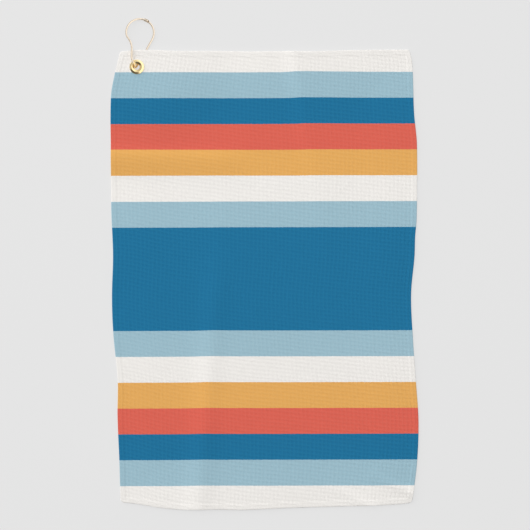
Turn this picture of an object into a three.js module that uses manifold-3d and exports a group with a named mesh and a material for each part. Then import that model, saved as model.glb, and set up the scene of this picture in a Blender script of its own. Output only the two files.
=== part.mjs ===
// Golf towel: a waffle cloth with a folded and sewn hem, a brass grommet in one corner, and a pear-shaped
// spring-wire hook threaded through it.
// The towel lies on its plain back with the printed face up (+Z) and the hook end towards +Y.
// Lengths are in millimetres. The frame's origin is the middle of the base of the whole object's box.
import * as THREE from "three";
import { mergeVertices } from "three/addons/utils/BufferGeometryUtils.js";
import Module from "manifold-3d";

const wasm = await Module();
wasm.setup();

// ---- Driving dimensions ----
const clothWidth = 406; // the flat cut, 16 inches
const clothLength = 610; // the flat cut, 24 inches
const clothThickness = 2.4;
const hemWidth = 6;
const hemRise = 0.8; // how much higher the folded hem stands than the cloth
const hemSlope = 1.5; // the width over which the hem's edge falls to the cloth
const seamInset = 4.2; // from the cloth's edge to the row of stitches
const threadWidth = 0.8;
const threadHeight = 0.4;
const gap = 0.3; // clearance between neighbouring solids
const hookReach = 41.8; // how far the hook's loop stands past the cloth's top edge
const wireRadius = 1.2;
const eyeletRadius = 9.6;
const eyeletHoleRadius = 3.9;
const eyeletDome = 1.7;
const washerRadius = 9;
const washerThickness = 1;

// How far each edge of the laid cloth is drawn in from the straight cut, as [share of the edge, distance].
// Side edges run from the hook end down, and the ends run from the hook's side across.
const leftEdge = [[0, 11.6], [0.02, 8.7], [0.05, 4.5], [0.1, -0.5], [0.23, -0.9], [0.35, -0.4], [0.45, 1.9],
  [0.545, 0.4], [0.62, 2], [0.73, 8.1], [0.81, 7.8], [0.91, 10.3], [1, 11.9]];
const rightEdge = [[0, 11.5], [0.03, 7.6], [0.14, 5.2], [0.21, 1.3], [0.37, 1.7], [0.413, 3.7],
  [0.457, 4.6], [0.54, 9], [0.64, 6.6], [0.735, 2.6], [0.82, -0.8], [0.91, 1.1], [1, 8]];
const topEdge = [[0, 3.1], [0.08, 0.8], [0.2, 2.2], [0.34, 1.8], [0.45, 2.5], [0.56, 2.1], [0.66, 2.6],
  [0.77, 1.2], [0.9, 0.3], [1, -0.1]];
const bottomEdge = [[0, 10.3], [0.06, 7.8], [0.13, 3.3], [0.21, 0.6], [0.33, 0.9], [0.42, 0.3], [0.55, 2.5],
  [0.65, 3.6], [0.75, 4.7], [0.87, 6.2], [0.95, 7.6], [1, 9.6]];

// ---- Sizes that follow ----
const clothTop = (clothLength - hookReach) / 2;
const grommetFlat = [28.7, 23.1]; // the grommet's place on the flat cut, from the hook-side corner
const wireTop = 2 * wireRadius;
const washerBottom = wireTop + gap; // the hook's back leg passes under the washer
const cornerLift = washerBottom + washerThickness + gap; // height of the cloth's back at the grommet
const flangeBottom = cornerLift + clothThickness + gap;
const flangeTop = flangeBottom + eyeletDome;
const barrelRadius = 5;
const liftFlatRadius = 38; // the cloth is level this far round the grommet, over the hook's swing
const liftEndRadius = 95; // and lies on its base past this radius

// ---- Shape of the laid cloth ----

// A smooth curve through knots given as [position, value], with the slope at a knot taken from its neighbours.
function throughKnots(knots, position) {
  const last = knots.length - 1;
  let i = 0;
  while (i < last - 1 && position > knots[i + 1][0]) {
    i += 1;
  }
  const slope = (k) => {
    const before = knots[Math.max(k - 1, 0)];
    const after = knots[Math.min(k + 1, last)];
    return (after[1] - before[1]) / (after[0] - before[0]);
  };
  const span = knots[i + 1][0] - knots[i][0];
  const t = (position - knots[i][0]) / span;
  const rise = knots[i + 1][1] - knots[i][1];
  const startBow = slope(i) * span - rise;
  const endBow = rise - slope(i + 1) * span;
  return knots[i][1] + rise * t + t * (1 - t) * (startBow * (1 - t) + endBow * t);
}

// Place of a point of the flat cut, given in millimetres across and down, once the cloth is laid.
function laid(across, down) {
  const u = across / clothWidth;
  const v = down / clothLength;
  const left = -clothWidth / 2 + throughKnots(leftEdge, v);
  const right = clothWidth / 2 - throughKnots(rightEdge, v);
  const top = clothTop - throughKnots(topEdge, u);
  const bottom = clothTop - clothLength + throughKnots(bottomEdge, u);
  return [THREE.MathUtils.lerp(left, right, u), THREE.MathUtils.lerp(top, bottom, v)];
}

const [grommetX, grommetY] = laid(...grommetFlat);

// Height of the cloth's back: it lies flat, and rises to the grommet over the hook's back leg.
function backHeight(x, y) {
  const distance = Math.hypot(x - grommetX, y - grommetY);
  return cornerLift * (1 - THREE.MathUtils.smoothstep(distance, liftFlatRadius, liftEndRadius));
}

function backPoint(across, down) {
  const [x, y] = laid(across, down);
  return [x, y, backHeight(x, y)];
}

function facePoint(across, down) {
  const [x, y, z] = backPoint(across, down);
  const inset = Math.min(across, clothWidth - across, down, clothLength - down);
  const hem = hemRise * (1 - THREE.MathUtils.clamp((inset - hemWidth) / hemSlope, 0, 1));
  return [x, y, z + clothThickness + hem];
}

// ---- Helpers ----

// A closed solid between two surfaces that share one grid of flat positions.
function gridSolid(across, down, lower, upper) {
  const positions = [];
  for (const surface of [lower, upper]) {
    for (const v of down) {
      for (const u of across) {
        positions.push(...surface(u, v));
      }
    }
  }
  const columns = across.length;
  const rows = down.length;
  const vertex = (level, row, column) => (level * rows + row) * columns + column;
  const indices = [];
  const quad = (a, b, c, d) => indices.push(a, b, c, a, c, d);
  for (let r = 0; r < rows - 1; r += 1) {
    for (let c = 0; c < columns - 1; c += 1) {
      quad(vertex(0, r, c), vertex(0, r, c + 1), vertex(0, r + 1, c + 1), vertex(0, r + 1, c));
      quad(vertex(1, r, c), vertex(1, r + 1, c), vertex(1, r + 1, c + 1), vertex(1, r, c + 1));
    }
  }
  const rim = [];
  for (let r = 0; r < rows - 1; r += 1) rim.push([r, 0]);
  for (let c = 0; c < columns - 1; c += 1) rim.push([rows - 1, c]);
  for (let r = rows - 1; r > 0; r -= 1) rim.push([r, columns - 1]);
  for (let c = columns - 1; c > 0; c -= 1) rim.push([0, c]);
  rim.forEach((here, i) => {
    const next = rim[(i + 1) % rim.length];
    quad(vertex(0, ...here), vertex(0, ...next), vertex(1, ...next), vertex(1, ...here));
  });
  const geometry = new THREE.BufferGeometry();
  geometry.setAttribute("position", new THREE.Float32BufferAttribute(positions, 3));
  geometry.setIndex(indices);
  return geometry;
}

// Flat positions of the grid lines along one side: the hem at both ends, close lines over the raised
// corner and wide ones elsewhere.
function gridLines(length) {
  const fineStep = 8;
  const fineEnd = 128;
  const wideStep = 30;
  const innerEnd = length - hemWidth - hemSlope;
  const lines = [0, hemWidth, hemWidth + hemSlope];
  for (let at = 2 * fineStep; at < fineEnd; at += fineStep) lines.push(at);
  for (let at = fineEnd; at < innerEnd - wideStep / 2; at += wideStep) lines.push(at);
  return [...lines, innerEnd, length - hemWidth, length];
}

function toManifold(geometry) {
  const bare = geometry.clone();
  bare.deleteAttribute("normal");
  bare.deleteAttribute("uv");
  const merged = mergeVertices(bare);
  return new wasm.Manifold(new wasm.Mesh({
    numProp: 3,
    vertProperties: new Float32Array(merged.attributes.position.array),
    triVerts: new Uint32Array(merged.index.array),
  }));
}

function toGeometry(solid) {
  const mesh = solid.getMesh();
  const geometry = new THREE.BufferGeometry();
  geometry.setAttribute("position", new THREE.BufferAttribute(mesh.vertProperties, 3));
  geometry.setIndex(new THREE.BufferAttribute(mesh.triVerts, 1));
  geometry.computeVertexNormals();
  return geometry;
}

// A ring turned about +Z from a closed outline of [radius, height] points, listed anticlockwise.
function turnedRing(outline) {
  const segments = 40;
  const points = [...outline, outline[0]].map(([radius, height]) => new THREE.Vector2(radius, height));
  return new THREE.LatheGeometry(points, segments).rotateX(Math.PI / 2);
}

function wireAlong(points) {
  const quarterSides = 5;
  const stepsPerPoint = 4;
  const section = new THREE.Shape();
  section.absarc(0, 0, wireRadius, 0, 2 * Math.PI);
  const path = new THREE.CatmullRomCurve3(points.map((point) => new THREE.Vector3(...point)));
  return new THREE.ExtrudeGeometry(section, {
    curveSegments: quarterSides,
    steps: stepsPerPoint * points.length,
    extrudePath: path,
  });
}

// ---- Materials ----
const clothMaterial = new THREE.MeshStandardMaterial({ color: 0x20719a, roughness: 0.95, metalness: 0 });
const threadMaterial = new THREE.MeshStandardMaterial({ color: 0xece9e5, roughness: 0.8, metalness: 0 });
const brassMaterial = new THREE.MeshStandardMaterial({ color: 0xd9ae62, roughness: 0.2, metalness: 1 });

function named(name, geometry, material) {
  const mesh = new THREE.Mesh(geometry, material);
  mesh.name = name;
  return mesh;
}

// ---- Towel ----

function towelPanel() {
  const cloth = gridSolid(gridLines(clothWidth), gridLines(clothLength), backPoint, facePoint);
  const cutter = new THREE.CylinderGeometry(barrelRadius + gap, barrelRadius + gap, 4 * cornerLift, 32);
  cutter.rotateX(Math.PI / 2).translate(grommetX, grommetY, cornerLift);
  return toGeometry(toManifold(cloth).subtract(toManifold(cutter)));
}

// One row of hem stitches: a low strip of thread just above the hem.
function threadStrip(across, down) {
  const above = (height) => (u, v) => {
    const [x, y, z] = facePoint(u, v);
    return [x, y, z + height];
  };
  return gridSolid(across, down, above(gap), above(gap + threadHeight));
}

function hemThreads() {
  const band = (inset) => [inset, inset + threadWidth];
  const farBand = (length) => [length - seamInset - threadWidth, length - seamInset];
  const lines = gridLines(clothLength).filter((at) => at > hemWidth && at < clothLength - hemWidth);
  const seamEnd = seamInset + threadWidth + gap;
  const sideLines = [seamEnd, ...lines, clothLength - seamEnd];
  const endLines = gridLines(clothWidth).filter((at) => at > hemWidth && at < clothWidth - hemWidth);
  const fullLines = [seamInset, ...endLines, clothWidth - seamInset];
  return [
    named("hem_thread_top", threadStrip(fullLines, band(seamInset)), threadMaterial),
    named("hem_thread_bottom", threadStrip(fullLines, farBand(clothLength)), threadMaterial),
    named("hem_thread_left", threadStrip(band(seamInset), sideLines), threadMaterial),
    named("hem_thread_right", threadStrip(farBand(clothWidth), sideLines), threadMaterial),
  ];
}

// ---- Grommet ----

// The eyelet's domed flange sits on the printed face, and its barrel goes down through the cloth.
function grommetEyelet() {
  const crestRadius = (eyeletRadius + eyeletHoleRadius) / 2;
  const outline = [
    [eyeletHoleRadius, washerBottom],
    [barrelRadius, washerBottom],
    [barrelRadius, flangeBottom],
    [eyeletRadius, flangeBottom],
  ];
  const domeSteps = 9;
  const halfWidth = eyeletRadius - crestRadius;
  for (let i = 1; i <= domeSteps; i += 1) {
    const angle = (Math.PI * i) / (domeSteps + 1);
    outline.push([crestRadius + halfWidth * Math.cos(angle), flangeBottom + eyeletDome * Math.sin(angle)]);
  }
  return turnedRing([...outline, [eyeletHoleRadius, flangeBottom]]);
}

function grommetWasher() {
  const innerRadius = barrelRadius + gap;
  const chamfer = washerThickness / 3;
  return turnedRing([
    [innerRadius, washerBottom],
    [washerRadius - chamfer, washerBottom],
    [washerRadius, washerBottom + chamfer],
    [washerRadius, washerBottom + washerThickness],
    [innerRadius, washerBottom + washerThickness],
  ]);
}

// ---- Hook ----
// The wire is bent from one length. It is held here as two halves that meet inside the grommet, so that
// the sprung front half can lift out of the catch. Places are from the middle of the grommet's hole.
const loopRadius = 18.05;
const loopCentre = [4.05, clothTop + hookReach - wireRadius - loopRadius - grommetY];
const passPlace = [-1.9, -0.4]; // where the wire goes through the grommet
const bendRadius = 3.5;
const frontHeight = flangeTop + gap + wireRadius;
const threadTop = cornerLift + clothThickness + hemRise + gap + threadHeight;
const overHemHeight = threadTop + gap + wireRadius;
const backLegHeight = wireRadius;
const pivotHeight = (frontHeight + backLegHeight) / 2;
const pivotGap = 0.4; // from the pivot to the end of each half
const catchAngle = 63;
const catchLength = 6;
const catchWall = 0.7;
const catchInside = 3.7;
const catchHeight = 2.9;
const tipHeight = catchWall + gap + wireRadius;

function onLoop(degrees, height) {
  const angle = THREE.MathUtils.degToRad(degrees);
  return [loopCentre[0] + loopRadius * Math.cos(angle), loopCentre[1] + loopRadius * Math.sin(angle), height];
}

// The start of either half: it leaves the pivot upright and bends level at the given height.
function throughHole(direction, height) {
  const [x, y] = passPlace;
  const side = Math.sign(height - pivotHeight);
  const reach = Math.hypot(...direction);
  const [dx, dy] = direction.map((part) => part / reach);
  const bendStart = height - side * bendRadius;
  const half = Math.SQRT1_2 * bendRadius;
  const levelReach = 1.5 * bendRadius;
  return [
    [x, y, pivotHeight + side * pivotGap],
    [x, y, bendStart],
    [x + dx * (bendRadius - half), y + dy * (bendRadius - half), bendStart + side * half],
    [x + dx * bendRadius, y + dy * bendRadius, height],
    [x + dx * levelReach, y + dy * levelReach, height],
  ];
}

function hookArm() {
  const loopStart = 195;
  const loopEnd = 61;
  const loopSteps = 8;
  const startHeight = 7;
  const points = [
    ...throughHole([-0.42, 0.91], frontHeight),
    [-6.4, 11, frontHeight],
    [-6.5, 19, overHemHeight],
    [-6.5, 27, overHemHeight],
    [-8.4, 33.2, overHemHeight],
  ];
  for (let i = 0; i <= loopSteps; i += 1) {
    const share = i / loopSteps;
    const level = THREE.MathUtils.lerp(startHeight, tipHeight, Math.min(share / 0.85, 1));
    points.push(onLoop(THREE.MathUtils.lerp(loopStart, loopEnd, share), level));
  }
  return wireAlong(points);
}

function hookBack() {
  const loopStart = -22;
  const loopEnd = 56;
  const loopSteps = 5;
  const points = [
    ...throughHole([0.5, 0.87], backLegHeight),
    [4.3, 9.6, backLegHeight],
    [9.8, 18.6, backLegHeight],
    [13.7, 26.4, backLegHeight],
    [16.6, 31.6, backLegHeight],
  ];
  for (let i = 0; i <= loopSteps; i += 1) {
    points.push(onLoop(THREE.MathUtils.lerp(loopStart, loopEnd, i / loopSteps), backLegHeight));
  }
  return toGeometry(toManifold(wireAlong(points)).add(toManifold(hookCatch())));
}

// The catch: a short trough, open at the top, that the front half's tip lies in.
function hookCatch() {
  const outer = catchInside / 2 + catchWall;
  const inner = catchInside / 2;
  const section = new THREE.Shape([
    [-outer, 0], [outer, 0], [outer, catchHeight], [inner, catchHeight],
    [inner, catchWall], [-inner, catchWall], [-inner, catchHeight], [-outer, catchHeight],
  ].map(([x, y]) => new THREE.Vector2(x, y)));
  const geometry = new THREE.ExtrudeGeometry(section, { depth: catchLength, bevelEnabled: false });
  geometry.translate(0, 0, -catchLength / 2);
  const angle = THREE.MathUtils.degToRad(catchAngle);
  const outward = new THREE.Vector3(Math.cos(angle), Math.sin(angle), 0);
  const up = new THREE.Vector3(0, 0, 1);
  const along = new THREE.Vector3().crossVectors(outward, up);
  const turn = new THREE.Matrix4().makeBasis(outward, up, along);
  return geometry.applyMatrix4(turn.setPosition(...onLoop(catchAngle, 0)));
}

// ---- Assembly ----
const golfTowel = new THREE.Group();
golfTowel.add(named("towel_panel", towelPanel(), clothMaterial));
golfTowel.add(...hemThreads());

const atGrommet = new THREE.Group();
atGrommet.position.set(grommetX, grommetY, 0);
atGrommet.add(named("grommet_eyelet", grommetEyelet(), brassMaterial));
atGrommet.add(named("grommet_washer", grommetWasher(), brassMaterial));
atGrommet.add(named("hook_back", hookBack(), brassMaterial));
atGrommet.add(named("hook_arm", hookArm(), brassMaterial));
golfTowel.add(atGrommet);

export default golfTowel;
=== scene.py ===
"""Looks of a golf towel that lies flat: a striped waffle cloth, its sewn hem, its grommet and its wire hook.

Lengths are in metres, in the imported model's frame: +Z up out of the printed face, +Y towards the hook.
"""

import math

import bpy
import numpy as np
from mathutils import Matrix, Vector


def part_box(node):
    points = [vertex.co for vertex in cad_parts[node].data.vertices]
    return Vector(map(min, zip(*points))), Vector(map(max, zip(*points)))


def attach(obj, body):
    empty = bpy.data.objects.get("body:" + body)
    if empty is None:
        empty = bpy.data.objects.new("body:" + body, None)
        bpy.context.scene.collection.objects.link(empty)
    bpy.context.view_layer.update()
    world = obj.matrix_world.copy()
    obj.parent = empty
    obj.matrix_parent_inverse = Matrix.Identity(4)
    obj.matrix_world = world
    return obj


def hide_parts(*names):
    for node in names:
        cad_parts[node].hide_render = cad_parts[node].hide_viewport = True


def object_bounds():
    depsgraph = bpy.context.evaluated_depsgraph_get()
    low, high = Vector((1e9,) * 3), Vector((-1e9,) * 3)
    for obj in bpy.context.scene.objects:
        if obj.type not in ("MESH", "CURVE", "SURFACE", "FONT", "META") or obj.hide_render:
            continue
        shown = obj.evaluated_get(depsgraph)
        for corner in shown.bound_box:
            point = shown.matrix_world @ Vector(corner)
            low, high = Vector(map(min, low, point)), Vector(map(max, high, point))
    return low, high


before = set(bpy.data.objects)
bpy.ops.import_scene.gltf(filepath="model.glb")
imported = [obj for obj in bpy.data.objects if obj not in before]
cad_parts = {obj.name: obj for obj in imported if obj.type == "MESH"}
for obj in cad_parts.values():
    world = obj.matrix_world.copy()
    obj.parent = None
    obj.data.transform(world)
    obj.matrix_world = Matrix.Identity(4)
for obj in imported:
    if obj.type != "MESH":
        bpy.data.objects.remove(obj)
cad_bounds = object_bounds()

# ---- Driving sizes ----
CLOTH_WIDTH = 0.406
CLOTH_LENGTH = 0.610
CLOTH_THICKNESS = 0.0024
HEM_THICKNESS = 0.0026
HEM_WIDTH = 0.006
HEM_SLOPE = 0.0025  # the width over which the hem's edge falls to the cloth
EDGE_RADIUS = 0.0008
SEAM_INSET = 0.0044  # from the cloth's edge to the row of stitches
SEAM_DEPTH = 0.0001
SEAM_HALF_WIDTH = 0.0007  # of the shallow groove that the stitches pull
STITCH_PITCH = 0.0034
STITCH_LENGTH = 0.0027
THREAD_RADIUS = 0.0002
HOOK_END_CORNER = 0.003  # radii of the eased corners
FAR_END_CORNER = 0.005
CELLS_ACROSS = 75  # waffle cells along the width
CELLS_DOWN = 115
ROW_SKEW = 0.14  # drop of the weave's rows for each unit across
THREAD_PITCH = 0.0006  # of the fine plain weave on the cells
CELL_WALL = 0.27  # width of the slope from a ridge to the cell's floor, in cells
CELL_DEPTH = 0.0004
BAND_COUNT = 16  # equal bands of the print between its two white ends
BAND_LENGTH = 0.03423
PRINT_START = 0.0301  # from the hook end to the first band
HOOK_REACH = 0.0418  # how far the hook's loop stands past the cloth's top edge
WIRE_RADIUS = 0.0012
BARREL_RADIUS = 0.005  # of the grommet, where it goes through the cloth
EYELET_HOLE_RADIUS = 0.0039
DEEPER_YELLOW_RADIUS = 0.007  # the wire is a deeper yellow this near to the grommet's middle
LIFT_FLAT_RADIUS = 0.038  # the cloth is level this far round the grommet, over the hook's swing
LIFT_END_RADIUS = 0.14  # and lies on the table past this radius
GAP = 0.0003

# How far each edge of the laid cloth is drawn in from the straight cut, as (share of the edge, distance).
# Side edges run from the hook end down, and the ends run from the hook's side across.
LEFT_EDGE = [(0, 0.0116), (0.02, 0.0087), (0.05, 0.0045), (0.1, -0.0005), (0.23, -0.0009), (0.35, -0.0004),
             (0.45, 0.0019), (0.545, 0.0004), (0.62, 0.0020), (0.73, 0.0081), (0.81, 0.0078),
             (0.91, 0.0103), (1, 0.0119)]
RIGHT_EDGE = [(0, 0.0115), (0.03, 0.0076), (0.14, 0.0052), (0.21, 0.0013), (0.37, 0.0017), (0.413, 0.0037),
              (0.457, 0.0046), (0.54, 0.0090), (0.64, 0.0066), (0.735, 0.0026), (0.82, -0.0008),
              (0.91, 0.0011), (1, 0.0080)]
TOP_EDGE = [(0, 0.0031), (0.08, 0.0008), (0.2, 0.0022), (0.34, 0.0018), (0.45, 0.0025), (0.56, 0.0021),
            (0.66, 0.0026), (0.77, 0.0012), (0.9, 0.0003), (1, -0.0001)]
BOTTOM_EDGE = [(0, 0.0103), (0.06, 0.0078), (0.13, 0.0033), (0.21, 0.0006), (0.33, 0.0009), (0.42, 0.0003),
               (0.55, 0.0025), (0.65, 0.0036), (0.75, 0.0047), (0.87, 0.0062), (0.95, 0.0076), (1, 0.0096)]

# Low folds in the laid cloth: start, end, half widths on the right and left of the run from start to end,
# and height at the start and at the end.
FOLDS = [
    ((-0.063, -0.045), (-0.086, -0.322), 0.019, 0.014, 0.0013, 0.0014),
    ((-0.063, -0.045), (-0.086, -0.322), 0.019, 0.090, 0.0014, 0.0020),
    ((0.040, 0.290), (0.062, 0.155), 0.014, 0.070, 0.0038, 0.0012),
    ((-0.192, 0.1425), (-0.068, 0.1385), 0.022, 0.0125, 0.0034, 0.0022),
    ((0.100, -0.300), (0.150, -0.326), 0.007, 0.007, 0.0006, 0.0020),
    ((0.150, -0.285), (0.200, -0.305), 0.007, 0.007, 0.0006, 0.0020),
]

# ---- Places taken from the frame ----
eyelet_low, eyelet_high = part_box("grommet_eyelet")
washer_low, washer_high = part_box("grommet_washer")
HOOK_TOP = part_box("hook_arm")[1].y
CLOTH_TOP = HOOK_TOP - HOOK_REACH
GROMMET = (eyelet_low + eyelet_high) / 2
BACK_AT_GROMMET = washer_high.z + GAP
FACE_AT_GROMMET = BACK_AT_GROMMET + CLOTH_THICKNESS
EYELET_RADIUS = (eyelet_high.x - eyelet_low.x) / 2
WASHER_RADIUS = (washer_high.x - washer_low.x) / 2


# ---- Shape of the laid cloth ----
def smoothstep(value, low, high):
    t = np.clip((value - low) / (high - low), 0, 1)
    return t * t * (3 - 2 * t)


def through_knots(knots, position):
    """A smooth curve through (position, value) knots, with the slope at a knot taken from its neighbours."""
    at, value = np.array(knots, float).T
    here = np.arange(len(at))
    before, after = np.maximum(here - 1, 0), np.minimum(here + 1, len(at) - 1)
    slope = (value[after] - value[before]) / (at[after] - at[before])
    i = np.clip(np.searchsorted(at, position, side="right") - 1, 0, len(at) - 2)
    span, rise = at[i + 1] - at[i], value[i + 1] - value[i]
    t = (position - at[i]) / span
    start_bow, end_bow = slope[i] * span - rise, rise - slope[i + 1] * span
    return value[i] + rise * t + t * (1 - t) * (start_bow * (1 - t) + end_bow * t)


def eased_corners(across, down):
    """Points of the flat cut after its square corners are eased into arcs."""
    from_left, from_top = across < CLOTH_WIDTH / 2, down < CLOTH_LENGTH / 2
    side = np.where(from_left, across, CLOTH_WIDTH - across)
    end = np.where(from_top, down, CLOTH_LENGTH - down)
    radius = np.where(from_top, HOOK_END_CORNER, FAR_END_CORNER)
    p = (1 - side / radius).clip(0)
    q = (1 - end / radius).clip(0)
    inward = radius * p * (1 - np.sqrt(1 - q**2 / 2))
    down_inward = radius * q * (1 - np.sqrt(1 - p**2 / 2))
    return across + np.where(from_left, inward, -inward), down + np.where(from_top, down_inward, -down_inward)


def laid(across, down):
    """x and y of points of the flat cut once the cloth is laid."""
    across, down = eased_corners(across, down)
    u, v = across / CLOTH_WIDTH, down / CLOTH_LENGTH
    left = -CLOTH_WIDTH / 2 + through_knots(LEFT_EDGE, v)
    right = CLOTH_WIDTH / 2 - through_knots(RIGHT_EDGE, v)
    top = CLOTH_TOP - through_knots(TOP_EDGE, u)
    bottom = CLOTH_TOP - CLOTH_LENGTH + through_knots(BOTTOM_EDGE, u)
    return left + (right - left) * u, top + (bottom - top) * v


def inset_of(across, down):
    """Distance of points of the flat cut from its nearest edge."""
    sides = np.minimum(across, CLOTH_WIDTH - across)
    return np.minimum(sides, np.minimum(down, CLOTH_LENGTH - down))


def fold_height(x, y):
    height = np.zeros_like(x)
    for start, end, right_width, left_width, start_height, end_height in FOLDS:
        run = np.subtract(end, start)
        length = np.hypot(*run)
        along = ((x - start[0]) * run[0] + (y - start[1]) * run[1]) / length
        aside = ((x - start[0]) * run[1] - (y - start[1]) * run[0]) / length
        half_width = np.where(aside > 0, right_width, left_width)
        share = np.clip(along / length, 0, 1)
        past = np.maximum(-along, along - length).clip(0)
        end_reach = right_width + left_width
        crest = start_height + (end_height - start_height) * share
        height += crest * np.exp(-(aside / half_width) ** 2 - (past / end_reach) ** 2)
    return height


def rest_height(across, down, x, y):
    """Height of the cloth's back: low folds, slightly rippled edges, and a rise over the hook's back leg."""
    from_grommet = np.hypot(x - GROMMET.x, y - GROMMET.y)
    corner = 1 - smoothstep(from_grommet, LIFT_FLAT_RADIUS, LIFT_END_RADIUS)
    ripple_size, ripple_reach = 0.0005, 0.09
    x_wave, y_wave = 0.021, 0.027
    near_edge = 1 - smoothstep(inset_of(across, down), 0, ripple_reach)
    ripple = ripple_size * (2 + np.sin(x / x_wave + 1.3) + np.sin(y / y_wave + 0.4))
    loose = fold_height(x, y) + ripple * near_edge
    return BACK_AT_GROMMET * corner + loose * (1 - corner)


def waffle(across, down):
    """How deep points lie in a waffle cell, from 0 on its ridges to 1 over its floor."""
    def wall(cells):
        return smoothstep(np.abs(cells - np.round(cells)), 0, CELL_WALL)

    column = across * CELLS_ACROSS / CLOTH_WIDTH
    row = (down - ROW_SKEW * (across - CLOTH_WIDTH / 2)) * CELLS_DOWN / CLOTH_LENGTH
    return wall(column) * wall(row)


def print_place(x, y):
    """Where laid points fall on the print, counted in bands. It lies straight, but for the folds."""
    tilt, fold_pull = 0.003, 0.3
    return (CLOTH_TOP - y + tilt * x + fold_pull * fold_height(x, y) - PRINT_START) / BAND_LENGTH


def seam_groove(inset):
    return np.exp(-(((inset - SEAM_INSET) / SEAM_HALF_WIDTH) ** 2))


def edge_rounding(inset):
    """How far the folded edge's faces turn in towards each other."""
    short = (EDGE_RADIUS - inset).clip(0, EDGE_RADIUS)
    return EDGE_RADIUS - np.sqrt(EDGE_RADIUS**2 - short**2)


def around_grommet(x, y):
    """1 where the grommet presses the cloth flat, falling to 0 past its rim."""
    pucker_width = 0.002
    distance = np.hypot(x - GROMMET.x, y - GROMMET.y)
    return 1 - smoothstep(distance, EYELET_RADIUS, EYELET_RADIUS + pucker_width)


def face_point(across, down):
    """Places on the printed face, as an array with x, y and z in its last axis."""
    x, y = laid(across, down)
    inset = inset_of(across, down)
    hem = 1 - smoothstep(inset, HEM_WIDTH, HEM_WIDTH + HEM_SLOPE)
    pressed = around_grommet(x, y)
    hem_smoothing = 0.55  # share of a cell's depth that the folded hem loses
    swell = 0.7 * GAP * pressed  # the cloth all but fills the gap under the grommet's flange
    thickness = CLOTH_THICKNESS + (HEM_THICKNESS - CLOTH_THICKNESS) * hem + swell
    pit = CELL_DEPTH * waffle(across, down) * (1 - hem_smoothing * hem) * (1 - pressed)
    lowered = edge_rounding(inset) + pit + SEAM_DEPTH * seam_groove(inset)
    z = rest_height(across, down, x, y) + thickness - lowered
    return np.stack([x, y, z], axis=-1)


def back_point(across, down):
    """Places on the plain back."""
    x, y = laid(across, down)
    inset = inset_of(across, down)
    hem_step = 0.0002  # the folded hem stands this far out of the back
    raised = hem_step * smoothstep(inset, HEM_WIDTH, HEM_WIDTH + HEM_SLOPE)
    groove = SEAM_DEPTH * seam_groove(inset)
    z = rest_height(across, down, x, y) + edge_rounding(inset) + groove + raised
    return np.stack([x, y, z], axis=-1)


# The mesh lines along a hem, as distances from the cloth's edge: over its rounding, the seam and the slope.
HEM_LINES = np.array([0, 0.0001, 0.0004, 0.0010, 0.0025, 0.0038, 0.0044, 0.005, 0.006,
                      0.0068, 0.0077, 0.0085])


def cell_lines(first, last, pitch):
    """Three mesh lines to each waffle cell: its ridge and both edges of its floor."""
    return ((np.arange(first, last)[:, None] + [0, CELL_WALL, 1 - CELL_WALL]) * pitch).ravel()


def flat_grid():
    """Flat places of the face's mesh lines: close and straight over the hems, along the weave between."""
    inner = HEM_LINES[-1]
    lines = cell_lines(0, CELLS_ACROSS, CLOTH_WIDTH / CELLS_ACROSS)
    across = np.concatenate([HEM_LINES, lines[(lines > inner) & (lines < CLOTH_WIDTH - inner)],
                             CLOTH_WIDTH - HEM_LINES[::-1]])
    drop = ROW_SKEW * (across - CLOTH_WIDTH / 2)
    pitch = CLOTH_LENGTH / CELLS_DOWN
    spare = math.ceil(drop.max() / pitch)
    rows = cell_lines(-spare, CELLS_DOWN + spare, pitch)[:, None] + drop
    rows = rows.clip(inner, CLOTH_LENGTH - inner)
    hem = HEM_LINES[:, None] + 0 * drop
    down = np.vstack([hem, rows, CLOTH_LENGTH - hem[::-1]])
    return across + 0 * down, down


# ---- Helpers for meshes ----
def new_object(name, points, faces, materials, smooth=True):
    mesh = bpy.data.meshes.new(name)
    mesh.from_pydata(np.asarray(points, float).reshape(-1, 3), [], faces)
    for material in materials:
        mesh.materials.append(material)
    mesh.polygons.foreach_set("use_smooth", [smooth] * len(mesh.polygons))
    mesh.update()
    made = bpy.data.objects.new(name, mesh)
    bpy.context.scene.collection.objects.link(made)
    return made


def set_cloth_maps(mesh, across, down, relief):
    """What the cloth's materials read: the flat cut as UVs, the print's place, and the height in a cell, from
    which the printed material paints shade.
    """
    loops = np.zeros(len(mesh.loops), np.int32)
    mesh.loops.foreach_get("vertex_index", loops)
    share = np.stack([across / CLOTH_WIDTH, down / CLOTH_LENGTH], axis=-1)
    mesh.uv_layers.new(name="flat").data.foreach_set("uv", share[loops].astype(np.float32).ravel())
    for name, values in (("print_place", print_place(*laid(across, down))), ("relief", relief)):
        mesh.attributes.new(name, "FLOAT", "POINT").data.foreach_set("value", values.astype(np.float32))


def welded(keys, faces):
    """The vertices kept once those with equal keys become one, and the faces over them. A face that has
    shrunk to nothing becomes None."""
    _, kept, renumber = np.unique(np.round(keys, 7), axis=0, return_index=True, return_inverse=True)
    renumber = renumber.ravel()
    merged = []
    for face in faces:
        corners = [renumber[corner] for corner in face]
        corners = [int(c) for i, c in enumerate(corners) if c != corners[i - 1]]
        merged.append(corners if len(corners) > 2 else None)
    return kept, merged


def quads(first, rows, columns, closed=False, closed_rows=False):
    """Quad faces over a grid of vertices that starts at index first. closed joins the last column to the
    first one, and closed_rows the last row."""
    grid = first + np.arange(rows * columns).reshape(rows, columns)
    if closed_rows:
        grid = np.vstack([grid, grid[:1]])
    if closed:
        grid = np.hstack([grid, grid[:, :1]])
    corners = [grid[:-1, :-1], grid[1:, :-1], grid[1:, 1:], grid[:-1, 1:]]
    return np.stack(corners, axis=-1).reshape(-1, 4).tolist()


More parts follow.
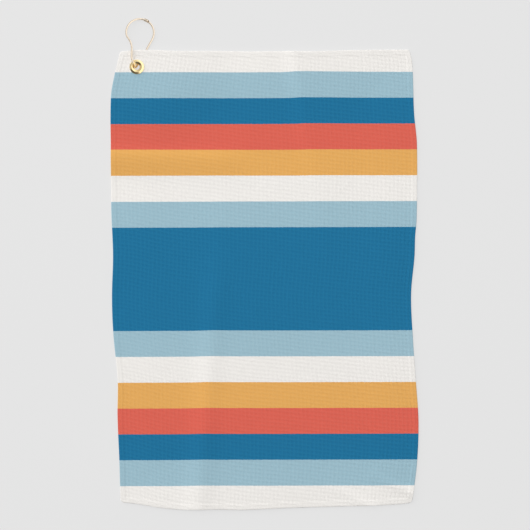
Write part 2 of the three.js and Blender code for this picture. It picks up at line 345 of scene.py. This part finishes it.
# ---- Helpers for materials ----
def srgb(red, green, blue):
    """A linear colour from the usual 0 to 255 values."""
    channels = np.array([red, green, blue]) / 255
    linear = np.where(channels <= 0.04045, channels / 12.92, ((channels + 0.055) / 1.055) ** 2.4)
    return (*linear.tolist(), 1)


def add(tree, kind, inputs, **settings):
    """A new node. Each input is set to a value, or linked if the value is another node's output."""
    made = tree.nodes.new("ShaderNode" + kind)
    for name, value in settings.items():
        setattr(made, name, value)
    for name, value in inputs.items():
        if isinstance(value, bpy.types.NodeSocket):
            tree.links.new(value, made.inputs[name])
        else:
            made.inputs[name].default_value = value
    return made


def maths(tree, operation, *values):
    return add(tree, "Math", dict(enumerate(values)), operation=operation).outputs[0]


def mapped(tree, value, low, high):
    """value, from 0 to 1, spread over low to high."""
    return add(tree, "MapRange", {"Value": value, "To Min": low, "To Max": high}).outputs[0]


def scaled_colour(tree, colour, factor):
    """A colour multiplied by a grey factor."""
    return add(tree, "VectorMath", {0: colour, "Scale": factor}, operation="SCALE").outputs[0]


def with_shade_and_mottle(tree, colour, cell_shade_and_mottle):
    """A colour raised to a power, which paints shade and random mottle: it changes strong colours, and hardly
    changes white.
    """
    return add(tree, "Gamma", {"Color": colour, "Gamma": cell_shade_and_mottle}).outputs[0]


def new_material(name):
    material = bpy.data.materials.new(name)
    material.use_nodes = True
    tree = material.node_tree
    return material, tree, tree.nodes["Principled BSDF"]


# ---- Cloth materials ----
WHITE = srgb(236, 233, 229)
LIGHT_BLUE = srgb(155, 187, 200)
BLUE = srgb(32, 113, 154)
CORAL = srgb(218, 101, 86)
ORANGE = srgb(226, 170, 95)
HALF_PRINT = [LIGHT_BLUE, BLUE, CORAL, ORANGE, WHITE, LIGHT_BLUE]
MIDDLE_BANDS = BAND_COUNT - 2 * len(HALF_PRINT)


def print_colour(tree, place):
    """The colour at a place on the print: the same bands from both ends to a wide blue one in the middle."""
    bands = [WHITE, *HALF_PRINT, *[BLUE] * MIDDLE_BANDS, *HALF_PRINT[::-1], WHITE]
    white_end, half_band = 1, 0.5
    middle_of_band = maths(tree, "ADD", maths(tree, "FLOOR", place), white_end + half_band)
    ramp = add(tree, "ValToRGB", {"Fac": maths(tree, "DIVIDE", middle_of_band, len(bands))})
    ramp.color_ramp.interpolation = "CONSTANT"
    stops = ramp.color_ramp.elements
    stops[0].color = bands[0]
    stops[1].position, stops[1].color = 1 / len(bands), bands[1]
    for i in range(2, len(bands)):
        if bands[i] != bands[i - 1]:
            stops.new(i / len(bands)).color = bands[i]
    return ramp.outputs["Color"]


def weave_height(tree, across, down):
    """The height of a fine plain weave under loose fibres, and the place on the flat cut that it reads."""
    def wave(position, length):
        phase = maths(tree, "MULTIPLY", position, 2 * math.pi * length / THREAD_PITCH)
        return maths(tree, "SINE", phase)

    crossing = maths(tree, "MULTIPLY", wave(across, CLOTH_WIDTH), wave(down, CLOTH_LENGTH))
    place = add(tree, "CombineXYZ", {"X": maths(tree, "MULTIPLY", across, CLOTH_WIDTH),
                                     "Y": maths(tree, "MULTIPLY", down, CLOTH_LENGTH)}).outputs[0]
    fibres = add(tree, "TexNoise", {"Vector": place, "Scale": 900, "Detail": 4, "Roughness": 0.6})
    return maths(tree, "ADD", mapped(tree, crossing, 0.3, 0.5), fibres.outputs["Fac"]), place


def cloth_material(name, printed):
    """Matt waffle microfibre, fuzzy, with painted shade: darker in its cells, paler on its ridges."""
    material, tree, shader = new_material(name)
    uv = add(tree, "UVMap", {}, uv_map="flat").outputs["UV"]
    split = add(tree, "SeparateXYZ", {"Vector": uv})
    across, down = split.outputs["X"], split.outputs["Y"]
    height, place = weave_height(tree, across, down)
    mottle = add(tree, "TexNoise", {"Vector": place, "Scale": 420, "Detail": 3}).outputs["Fac"]
    patches = add(tree, "TexNoise", {"Vector": place, "Scale": 14, "Detail": 2}).outputs["Fac"]
    if printed:
        print_at = add(tree, "Attribute", {}, attribute_name="print_place").outputs["Fac"]
        ragged = maths(tree, "ADD", print_at, mapped(tree, mottle, -0.01, 0.01))
        relief = add(tree, "Attribute", {}, attribute_name="relief").outputs["Fac"]
        # painted shade: cell floors get a higher gamma than ridges, so the print is darker in the cells; the
        # mottle adds random tone
        cell_shade_and_mottle = maths(tree, "MULTIPLY", mapped(tree, relief, 1.03, 0.98), mapped(tree, mottle, 1.03, 0.97))
        colour = with_shade_and_mottle(tree, print_colour(tree, ragged), cell_shade_and_mottle)
    else:
        colour = WHITE[:3]
    shade = maths(tree, "MULTIPLY", mapped(tree, mottle, 0.99, 1.01), mapped(tree, patches, 0.985, 1.015))
    tree.links.new(scaled_colour(tree, colour, shade), shader.inputs["Base Color"])
    shader.inputs["Roughness"].default_value = 0.93
    shader.inputs["Specular IOR Level"].default_value = 0.12
    shader.inputs["Sheen Weight"].default_value = 0.05
    shader.inputs["Sheen Roughness"].default_value = 0.5
    bump = add(tree, "Bump", {"Height": height, "Distance": 0.00016, "Strength": 0.8})
    tree.links.new(bump.outputs[0], shader.inputs["Normal"])
    return material


# ---- Towel ----
def coarse_lines(count):
    """Which of the face's mesh lines the back keeps: some of the rolled edge's, then one in three."""
    hem = len(HEM_LINES)
    return [1, 3, 5, *range(hem - 4, count - hem + 4, 3), count - 6, count - 4, count - 2]


def cloth_faces(rows, columns, kept_rows, kept_columns):
    """Faces over the printed grid, then over the coarser back, then round the folded edge, and the range of
    those on the back. The back's vertices follow the printed grid's."""
    first_on_back = rows * columns
    last_row, last_column = rows - 1, columns - 1

    def on_face(row, column):
        return row * columns + column

    def on_back(row, column):
        return first_on_back + kept_rows.index(row) * len(kept_columns) + kept_columns.index(column)

    faces = quads(0, rows, columns)
    back_start = len(faces)
    faces += [face[::-1] for face in quads(first_on_back, len(kept_rows), len(kept_columns))]
    back_end = len(faces)
    for a, b in zip(kept_columns, kept_columns[1:]):
        span = range(a, b + 1)
        faces.append([on_face(0, c) for c in span] + [on_back(1, b), on_back(1, a)])
        faces.append([on_face(last_row, c) for c in reversed(span)]
                     + [on_back(last_row - 1, a), on_back(last_row - 1, b)])
    for a, b in zip(kept_rows, kept_rows[1:]):
        span = range(a, b + 1)
        faces.append([on_face(r, 0) for r in reversed(span)] + [on_back(a, 1), on_back(b, 1)])
        faces.append([on_face(r, last_column) for r in span]
                     + [on_back(b, last_column - 1), on_back(a, last_column - 1)])
    for row, inner_row in ((0, 1), (last_row, last_row - 1)):
        for column, inner_column in ((0, 1), (last_column, last_column - 1)):
            corner = [on_face(row, column), on_face(row, inner_column),
                      on_back(inner_row, inner_column), on_face(inner_row, column)]
            turned_right = (row == 0) == (column == 0)
            faces.append(corner if turned_right else corner[::-1])
    return faces, range(back_start, back_end)


def towel_cloth(face_material, back_material):
    """The whole cloth as one closed mesh, with the grommet's hole cut through it."""
    face_across, face_down = flat_grid()
    rows, columns = face_across.shape
    kept_rows, kept_columns = coarse_lines(rows), coarse_lines(columns)
    kept_grid = np.ix_(kept_rows, kept_columns)
    across = np.concatenate([face_across.ravel(), face_across[kept_grid].ravel()])
    down = np.concatenate([face_down.ravel(), face_down[kept_grid].ravel()])
    on_back = np.arange(len(across)) >= face_across.size

    faces, back_faces = cloth_faces(rows, columns, kept_rows, kept_columns)
    kept, faces = welded(np.column_stack([across, down, on_back]), faces)
    slots = [int(i in back_faces) for i, face in enumerate(faces) if face]
    faces = [face for face in faces if face]
    across, down, on_back = across[kept], down[kept], on_back[kept]
    places = np.where(on_back[:, None], back_point(across, down), face_point(across, down))
    cloth = new_object("towel_cloth", places, faces, [face_material, back_material])
    cloth.data.polygons.foreach_set("material_index", slots)
    back_relief = 0.6
    set_cloth_maps(cloth.data, across, down, np.where(on_back, back_relief, 1 - waffle(across, down)))
    cut_grommet_hole(cloth)
    return cloth


def cut_grommet_hole(cloth):
    radius = BARREL_RADIUS + GAP
    sides, reach = 48, 0.02
    ends = (GROMMET.z - reach, GROMMET.z + reach)
    angles = np.arange(sides) * 2 * math.pi / sides
    ring = np.stack([GROMMET.x + radius * np.cos(angles), GROMMET.y + radius * np.sin(angles)], axis=-1)
    points = np.vstack([np.column_stack([ring, np.full(sides, z)]) for z in ends])
    walls = [face[::-1] for face in quads(0, 2, sides, closed=True)]
    caps = [list(range(sides))[::-1], list(range(sides, 2 * sides))]
    cutter = new_object("grommet_cutter", points, walls + caps, [])
    cut = cloth.modifiers.new("grommet_hole", "BOOLEAN")
    cut.operation = "DIFFERENCE"
    cut.solver = "EXACT"
    cut.object = cutter
    evaluated = cloth.evaluated_get(bpy.context.evaluated_depsgraph_get())
    cloth.data = bpy.data.meshes.new_from_object(evaluated)
    cloth.modifiers.clear()
    bpy.data.objects.remove(cutter)


def stitch_faces(first, stations, sides):
    """One stitch's faces over its rings of vertices, with both ends closed."""
    last_ring = first + (stations - 1) * sides
    ends = [list(range(first, first + sides)), list(range(last_ring, last_ring + sides))[::-1]]
    return quads(first, stations, sides, closed=True) + ends


def stitch_row(name, place, length, material):
    """One edge's lock stitches on both faces. place turns (along the edge, inset) into flat positions."""
    stations, sides = 6, 6
    pressed_flat = 0.5  # height of the thread for its width
    arch_height, end_depth = 0.6, 0.3  # of a stitch's middle line, in thread radii
    bluntness = 0.97  # 1 would end a stitch in a point
    seam_end = SEAM_INSET + STITCH_PITCH
    count = int((length - 2 * seam_end) / STITCH_PITCH)
    first = (length - count * STITCH_PITCH) / 2 + STITCH_PITCH / 2
    middles = first + STITCH_PITCH * np.arange(count)[:, None, None]
    share = np.linspace(-1, 1, stations)[None, :, None]
    angle = (np.arange(sides) * 2 * math.pi / sides)[None, None, :]
    thick = THREAD_RADIUS * np.sqrt(1 - bluntness * share**6)
    along = middles + STITCH_LENGTH / 2 * share + 0 * angle
    inset = SEAM_INSET + thick * np.cos(angle) + 0 * along
    across, down = place(along, inset)
    arch = (arch_height * (1 - share**2) - end_depth) * THREAD_RADIUS
    centre_across, centre_down = place(along, SEAM_INSET + 0 * along)
    points, faces = [], []
    for surface, side in ((face_point, 1), (back_point, -1)):
        places = surface(across, down)
        level = surface(centre_across, centre_down)[..., 2]
        places[..., 2] = level + side * arch + pressed_flat * thick * np.sin(angle)
        if side < 0:
            places[..., 2] = np.maximum(places[..., 2], 0)
        for i in range(count):
            faces += stitch_faces((len(points) * count + i) * stations * sides, stations, sides)
        points.append(places.reshape(-1, 3))
    stitches = new_object(name, np.vstack(points), faces, [material])
    both_across, both_down = np.tile(across.ravel(), 2), np.tile(down.ravel(), 2)
    # the threads take the printed material's painted shade as if they lay near a ridge
    thread_relief = 0.8
    set_cloth_maps(stitches.data, both_across, both_down, np.full(2 * across.size, thread_relief))
    return stitches


def hem_stitches(material):
    edges = {
        "top": (lambda along, inset: (along, inset), CLOTH_WIDTH),
        "bottom": (lambda along, inset: (along, CLOTH_LENGTH - inset), CLOTH_WIDTH),
        "left": (lambda along, inset: (inset, along), CLOTH_LENGTH),
        "right": (lambda along, inset: (CLOTH_WIDTH - inset, along), CLOTH_LENGTH),
    }
    made = []
    for edge, (place, length) in edges.items():
        stitches = stitch_row(f"hem_stitches_{edge}", place, length, material)
        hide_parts(f"hem_thread_{edge}")
        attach(stitches, "towel")
        made.append(stitches)
    return made


# ---- Metal ----
def gold_material(name, seed, bright, dull, smoothest, roughest, near_grommet_colour=None):
    """Gold plate with faint scuffs and a little dulling. It may turn another colour near the grommet."""
    material, tree, shader = new_material(name)
    place = add(tree, "TexCoord", {}).outputs["Object"]

    def noise(scale, detail):
        inputs = {"Vector": place, "Scale": scale, "Detail": detail, "W": seed}
        return add(tree, "TexNoise", inputs, noise_dimensions="4D").outputs["Fac"]

    def blended(share, start, end):
        return add(tree, "Mix", {"Factor": share, "A": start, "B": end}, data_type="RGBA").outputs["Result"]

    scuffs = noise(scale=2600, detail=5)
    colour = blended(noise(scale=260, detail=3), bright, dull)
    # within the grommet's rim the wire blends to a deeper yellow, set by distance alone
    if near_grommet_colour:
        from_grommet = add(tree, "VectorMath", {0: place, 1: GROMMET}, operation="DISTANCE").outputs["Value"]
        spread = {"Value": from_grommet, "From Min": DEEPER_YELLOW_RADIUS, "From Max": EYELET_RADIUS}
        far = add(tree, "MapRange", spread, interpolation_type="SMOOTHSTEP").outputs[0]
        colour = blended(far, near_grommet_colour, colour)
    tree.links.new(colour, shader.inputs["Base Color"])
    tree.links.new(mapped(tree, scuffs, smoothest, roughest), shader.inputs["Roughness"])
    shader.inputs["Metallic"].default_value = 1
    bump = add(tree, "Bump", {"Height": scuffs, "Distance": 0.00002, "Strength": 0.5})
    tree.links.new(bump.outputs[0], shader.inputs["Normal"])
    return material


def turned(name, outline, material, sides=96):
    """A ring about the grommet's axis from a closed outline of (radius, height) points."""
    radius, height = np.array(outline).T
    angle = np.arange(sides)[:, None] * 2 * math.pi / sides
    points = np.stack([GROMMET.x + radius * np.cos(angle), GROMMET.y + radius * np.sin(angle),
                       height + 0 * angle], axis=-1)
    faces = quads(0, sides, len(outline), closed=True, closed_rows=True)
    return new_object(name, points, faces, [material])


def arc(centre, radii, start, end, steps):
    """Points on an ellipse from one angle to another, in degrees, both ends included."""
    angles = np.radians(np.linspace(start, end, steps))
    return [(centre[0] + radii[0] * math.cos(a), centre[1] + radii[1] * math.sin(a)) for a in angles]


def eyelet_ring(material):
    """The domed flange, which falls smoothly into the barrel, and the barrel's rounded foot."""
    top = eyelet_high.z
    crest = 0.0069
    crest_bend, throat_bend, shoulder_bend = 0.0012, 0.0011, 0.0005
    tilt = 26  # of the straight slopes on both sides of the crest

    def below_crest(run, bend):
        """How far under the crest the centre of a slope's last bend lies, for the slope's width and bend."""
        turn = math.radians(tilt)
        straight = run - bend * (1 - math.sin(turn)) - crest_bend * math.sin(turn)
        return crest_bend * (1 - math.cos(turn)) + straight * math.tan(turn) + bend * math.cos(turn)

    throat = top - below_crest(crest - EYELET_HOLE_RADIUS, throat_bend)
    shoulder = top - below_crest(EYELET_RADIUS - crest, shoulder_bend)
    lip = 0.00025
    under = FACE_AT_GROMMET + GAP
    foot = (BARREL_RADIUS + EYELET_HOLE_RADIUS) / 2
    foot_half = (BARREL_RADIUS - EYELET_HOLE_RADIUS) / 2
    outline = [
        *arc((EYELET_HOLE_RADIUS + throat_bend, throat), (throat_bend, throat_bend), 180, 90 + tilt, 9),
        *arc((crest, top - crest_bend), (crest_bend, crest_bend), 90 + tilt, 90 - tilt, 9),
        *arc((EYELET_RADIUS - shoulder_bend, shoulder), (shoulder_bend, shoulder_bend), 90 - tilt, 0, 8),
        *arc((EYELET_RADIUS - lip, under + lip), (lip, lip), 0, -90, 4),
        (BARREL_RADIUS, under),
        *arc((foot, eyelet_low.z + foot_half), (foot_half, foot_half), 0, -180, 7),
    ]
    ring = turned("eyelet_ring", outline[::-1], material)
    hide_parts("grommet_eyelet")
    return ring


def washer_ring(material):
    edge = 0.0003
    low, high = washer_low.z, washer_high.z
    inner, outer = BARREL_RADIUS + 0.0001, WASHER_RADIUS
    outline = [
        *arc((outer - edge, low + edge), (edge, edge), -90, 0, 5),
        *arc((outer - edge, high - edge), (edge, edge), 0, 90, 5),
        *arc((inner + edge, high - edge), (edge, edge), 90, 180, 5),
        *arc((inner + edge, low + edge), (edge, edge), 180, 270, 5),
    ]
    ring = turned("washer_ring", outline, material)
    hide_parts("grommet_washer")
    return ring


# ---- Hook ----
# Places are from the middle of the grommet's hole, as in the CAD, with heights above the table.
LOOP_RADIUS = 0.01805
LOOP_CENTRE = (0.00405, HOOK_TOP - WIRE_RADIUS - LOOP_RADIUS - GROMMET.y)
PASS_PLACE = (-0.0019, -0.0004)
BEND_RADIUS = 0.0035
FRONT_HEIGHT = eyelet_high.z + GAP + WIRE_RADIUS
BACK_LEG_HEIGHT = WIRE_RADIUS
PIVOT_HEIGHT = (FRONT_HEIGHT + BACK_LEG_HEIGHT) / 2
CATCH_ANGLE = 63
CATCH_HALF_LENGTH = 0.003
CATCH_WALL = 0.0007
TIP_HEIGHT = CATCH_WALL + GAP + WIRE_RADIUS
OVER_HEM_HEIGHT = 0.0094


def on_loop(degrees, height):
    angle = math.radians(degrees)
    return (LOOP_CENTRE[0] + LOOP_RADIUS * math.cos(angle),
            LOOP_CENTRE[1] + LOOP_RADIUS * math.sin(angle), height)


def through_hole(direction, height):
    """The start of either half of the wire: upright at the pivot, then bent level at the given height."""
    x, y = PASS_PLACE
    side = 1 if height > PIVOT_HEIGHT else -1
    dx, dy = np.divide(direction, np.hypot(*direction))
    bend_start = height - side * BEND_RADIUS
    half = math.sqrt(0.5) * BEND_RADIUS
    level_reach = 1.5 * BEND_RADIUS
    return [
        (x, y, PIVOT_HEIGHT),
        (x, y, bend_start),
        (x + dx * (BEND_RADIUS - half), y + dy * (BEND_RADIUS - half), bend_start + side * half),
        (x + dx * BEND_RADIUS, y + dy * BEND_RADIUS, height),
        (x + dx * level_reach, y + dy * level_reach, height),
    ]


def smooth_path(points, steps=9):
    """A centripetal Catmull-Rom curve through the points."""
    p = np.array(points, float)
    p = np.vstack([2 * p[0] - p[1], p, 2 * p[-1] - p[-2]])
    knots = np.concatenate([[0], np.cumsum(np.linalg.norm(np.diff(p, axis=0), axis=1) ** 0.5)])
    line = []
    for i in range(1, len(p) - 2):
        t = np.linspace(knots[i], knots[i + 1], steps, endpoint=False)[:, None]

        def between(a, b, first, second):
            return (knots[second] - t) / (knots[second] - knots[first]) * a + (
                t - knots[first]) / (knots[second] - knots[first]) * b

        low = between(p[i - 1], p[i], i - 1, i)
        mid = between(p[i], p[i + 1], i, i + 1)
        high = between(p[i + 1], p[i + 2], i + 1, i + 2)
        line.append(between(between(low, mid, i - 1, i + 1), between(mid, high, i, i + 2), i, i + 1))
    return np.vstack([*line, p[-2:-1]])


def frames_along(line, first_up):
    """Side and up at each point of a line, carried along it without twist."""
    tangents = np.gradient(line, axis=0)
    tangents /= np.linalg.norm(tangents, axis=1)[:, None]
    ups = [np.array(first_up, float)]
    for tangent in tangents[1:]:
        up = ups[-1] - tangent * (ups[-1] @ tangent)
        ups.append(up / np.linalg.norm(up))
    ups = np.array(ups)
    return np.cross(tangents, ups), ups


def lofted(name, line, sections, first_up, material):
    """A closed solid swept along a line. Each section is an array of (side, up) points from the line."""
    sides, ups = frames_along(line, first_up)
    points = line[:, None] + sections[..., :1] * sides[:, None] + sections[..., 1:] * ups[:, None]
    points += np.array([GROMMET.x, GROMMET.y, 0])
    rings, count = sections.shape[:2]
    faces = [face[::-1] for face in quads(0, rings, count, closed=True)]
    faces += [list(range(count)), list(range((rings - 1) * count, rings * count))[::-1]]
    return new_object(name, points, faces, [material])


def with_round_end(line, radii, radius, at_start):
    """The line and its radii with a half ball added past one end."""
    steps, last_angle = 7, 0.97 * math.pi / 2  # just short of a point
    angles = np.linspace(0, last_angle, steps + 1)[1:]
    end, inner = (line[0], line[1]) if at_start else (line[-1], line[-2])
    outward = (end - inner) / np.linalg.norm(end - inner)
    cap = end + outward * (radius * np.sin(angles))[:, None]
    cap_radii = radius * np.cos(angles)
    if at_start:
        return np.vstack([cap[::-1], line]), np.concatenate([cap_radii[::-1], radii])
    return np.vstack([line, cap]), np.concatenate([radii, cap_radii])


def round_sections(radii, count=24):
    angles = math.pi / 2 + np.arange(count) * 2 * math.pi / count
    return radii[:, None, None] * np.stack([np.cos(angles), np.sin(angles)], axis=-1)


def hook_arm_wire(material):
    loop_start, loop_end, loop_steps = 195, 59.5, 8
    start_height = 0.007  # of the wire where the loop starts
    level_from = 0.85  # share of the loop by which it has come down to its tip's height
    points = [
        *through_hole((-0.42, 0.91), FRONT_HEIGHT),
        (-0.0064, 0.011, FRONT_HEIGHT),
        (-0.0065, 0.019, OVER_HEM_HEIGHT),
        (-0.0065, 0.027, OVER_HEM_HEIGHT),
        (-0.0084, 0.0332, OVER_HEM_HEIGHT),
    ]
    for i in range(loop_steps + 1):
        share = i / loop_steps
        level = start_height + (TIP_HEIGHT - start_height) * min(share / level_from, 1)
        points.append(on_loop(loop_start + (loop_end - loop_start) * share, level))
    line = smooth_path(points)
    radii = np.full(len(line), WIRE_RADIUS)
    line, radii = with_round_end(line, radii, WIRE_RADIUS, at_start=True)
    line, radii = with_round_end(line, radii, WIRE_RADIUS, at_start=False)
    wire = lofted("hook_arm_wire", line, round_sections(radii), (1, 0, 0), material)
    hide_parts("hook_arm")
    return wire


def catch_section():
    """The catch's trough in cross-section, open at the top, with heights from the wire's middle. Its
    24 points start at the middle of the floor's top side, so that it can grow out of the round wire."""
    inside, outside = 0.0013, 0.0018
    floor, rim = CATCH_WALL - WIRE_RADIUS, 0.0024 - WIRE_RADIUS
    lip = (outside + inside) / 2
    right = [
        (inside * 0.5, floor),
        (inside * 0.92, floor + 0.0004),
        (inside, rim - 0.0003),
        (lip - 0.0001, rim),
        (lip + 0.00012, rim),
        (outside, rim - 0.0003),
        (outside, 0),
        (outside * 0.96, -WIRE_RADIUS * 0.62),
        (outside * 0.8, -WIRE_RADIUS * 0.92),
        (outside * 0.5, -WIRE_RADIUS),
        (outside * 0.25, -WIRE_RADIUS),
    ]
    left = [(-x, y) for x, y in right]
    return np.array([(0, floor), *left, (0, -WIRE_RADIUS), *right[::-1]])


def hook_back_wire(material):
    loop_start, loop_end, loop_steps = -22, 56, 5
    next_step = 2  # degrees from the loop's last point to the first of the four that end the wire
    forming_starts, forming_ends = -4, 3  # degrees past the catch's near end
    points = [
        *through_hole((0.5, 0.87), BACK_LEG_HEIGHT),
        (0.0043, 0.0096, BACK_LEG_HEIGHT),
        (0.0098, 0.0186, BACK_LEG_HEIGHT),
        (0.0137, 0.0264, BACK_LEG_HEIGHT),
        (0.0166, 0.0316, BACK_LEG_HEIGHT),
    ]
    for i in range(loop_steps + 1):
        points.append(on_loop(loop_start + (loop_end - loop_start) * i / loop_steps, BACK_LEG_HEIGHT))
    reach = math.degrees(CATCH_HALF_LENGTH / LOOP_RADIUS)
    for degrees in np.linspace(loop_end + next_step, CATCH_ANGLE + reach, 4):
        points.append(on_loop(degrees, BACK_LEG_HEIGHT))
    line = smooth_path(points[::-1])
    wire_line, radii = with_round_end(line, np.full(len(line), WIRE_RADIUS), WIRE_RADIUS, at_start=False)
    angle = np.degrees(np.arctan2(wire_line[:, 1] - LOOP_CENTRE[1], wire_line[:, 0] - LOOP_CENTRE[0]))
    near_end = CATCH_ANGLE - reach
    formed = smoothstep(angle, near_end + forming_starts, near_end + forming_ends)
    formed[wire_line[:, 1] < LOOP_CENTRE[1]] = 0
    rounds = round_sections(radii)
    sections = rounds + formed[:, None, None] * (catch_section() - rounds)
    wire = lofted("hook_back_wire", wire_line, sections, (0, 0, 1), material)
    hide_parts("hook_back")
    return wire


# ---- Floor, light and camera ----
def make_floor():
    """A pale light table, which keeps the shadows faint, a hair below the towel."""
    size, level = 8, -0.0002
    corners = [(-size, -size, level), (size, -size, level), (size, size, level), (-size, size, level)]
    material, tree, shader = new_material("studio_floor")
    place = add(tree, "TexCoord", {}).outputs["Object"]
    speckle = add(tree, "TexNoise", {"Vector": place, "Scale": 300, "Detail": 2}).outputs["Fac"]
    paper = scaled_colour(tree, srgb(120, 120, 120)[:3], mapped(tree, speckle, 0.995, 1.005))
    tree.links.new(paper, shader.inputs["Base Color"])
    shader.inputs["Emission Color"].default_value = (1, 1, 1, 1)
    shader.inputs["Emission Strength"].default_value = 0.594
    shader.inputs["Roughness"].default_value = 1
    shader.inputs["Specular IOR Level"].default_value = 0
    floor = new_object("studio_floor", corners, [[0, 1, 2, 3]], [material])
    return floor


def direction_to(azimuth, elevation):
    """A unit vector from angles in degrees, with azimuth turned from +X to +Y."""
    azimuth, elevation = math.radians(azimuth), math.radians(elevation)
    level = math.cos(elevation)
    return Vector((level * math.cos(azimuth), level * math.sin(azimuth), math.sin(elevation)))


def make_world():
    """A soft white studio, brightest past the towel's top left, with a dark screen past its lower left."""
    world = bpy.data.worlds.new("studio")
    bpy.context.scene.world = world
    world.use_nodes = True
    tree = world.node_tree
    direction = add(tree, "TexCoord", {}).outputs["Generated"]

    def patch(middle, start, end, outside, inside):
        """A soft round patch of the sky. start and end are the cosines of its outer and inner radius."""
        facing = add(tree, "VectorMath", {0: direction, 1: middle}, operation="DOT_PRODUCT").outputs["Value"]
        spread = {"Value": facing, "From Min": start, "From Max": end, "To Min": outside, "To Max": inside}
        return add(tree, "MapRange", spread, interpolation_type="SMOOTHSTEP").outputs[0]

    softbox = patch(direction_to(150, 38), 0.3, 0.97, 0.47, 1.62)
    mirrored = patch(direction_to(150, 40), 0.4, 0.95, 1.4, 0.6)  # what metal shows instead of the softbox
    screen = patch(direction_to(238, 38), 0.66, 0.9, 1, 0.1)
    path = add(tree, "LightPath", {})
    sky = add(tree, "Mix", {"Factor": path.outputs["Is Glossy Ray"], "A": softbox, "B": mirrored}).outputs[0]
    background = tree.nodes["Background"]
    tree.links.new(maths(tree, "MULTIPLY", sky, screen), background.inputs["Strength"])
    background.inputs["Color"].default_value = (1, 1, 1, 1)
    backdrop = add(tree, "Background", {"Color": srgb(230, 230, 230), "Strength": 1})
    mix = add(tree, "MixShader", {0: path.outputs["Is Camera Ray"], 1: background.outputs[0],
                                  2: backdrop.outputs[0]})
    tree.links.new(mix.outputs[0], tree.nodes["World Output"].inputs["Surface"])


def add_light(name, kind, energy, towards):
    """A light that shines from a direction, and that the metal doesn't mirror."""
    made = bpy.data.objects.new(name, bpy.data.lights.new(name, kind))
    made.data.energy = energy
    made.rotation_mode = "QUATERNION"
    made.rotation_quaternion = towards.to_track_quat("Z", "Y")
    made.visible_camera = False
    made.visible_glossy = False
    bpy.context.scene.collection.objects.link(made)
    return made


def make_lights():
    """A wide light from the top left and a small lamp over that side, so that the far corner is dimmest."""
    key = add_light("key", "SUN", 0.5, direction_to(148, 40))
    key.data.angle = math.radians(50)
    lamp = add_light("lamp", "AREA", 9.5, Vector((0, 0, 1)))
    lamp.data.size = 0.5
    lamp.location = (-0.35, 0.55, 2)


def make_camera():
    """Straight above, with the hook end at the top of the view."""
    low, high = cad_bounds
    margin = 1.0788  # width of the view for the towel's length
    right, back = 0.0005, 0.00175  # the camera's place from the towel's middle
    view_width = margin * (high.y - low.y)
    camera = bpy.data.cameras.new("camera")
    camera.lens = 85
    camera.sensor_width = 36
    made = bpy.data.objects.new("camera", camera)
    distance = view_width * camera.lens / camera.sensor_width
    made.location = ((low.x + high.x) / 2 + right, (low.y + high.y) / 2 - back, distance)
    bpy.context.scene.collection.objects.link(made)
    bpy.context.scene.camera = made


# ---- Build ----
make_camera()
make_world()
make_lights()
floor = make_floor()

printed = cloth_material("printed_waffle", printed=True)
plain = cloth_material("plain_back", printed=False)
cloth = towel_cloth(printed, plain)
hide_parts("towel_panel")
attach(cloth, "towel")
stitches = hem_stitches(printed)

grommet_gold = gold_material("grommet_gold", 1, bright=srgb(254, 233, 182), dull=srgb(247, 219, 158),
                             smoothest=0.08, roughest=0.26)
hook_gold = gold_material("hook_gold", 2, bright=srgb(242, 228, 210), dull=srgb(234, 217, 194),
                          smoothest=0.2, roughest=0.36, near_grommet_colour=srgb(236, 202, 145))
metal = {
    "towel": [eyelet_ring(grommet_gold), washer_ring(grommet_gold)],
    "hook": [hook_back_wire(hook_gold)],
    "hook_spring_arm": [hook_arm_wire(hook_gold)],
}
for body, made in metal.items():
    for piece in made:
        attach(piece, body)

bpy.context.scene.view_settings.view_transform = "Standard"
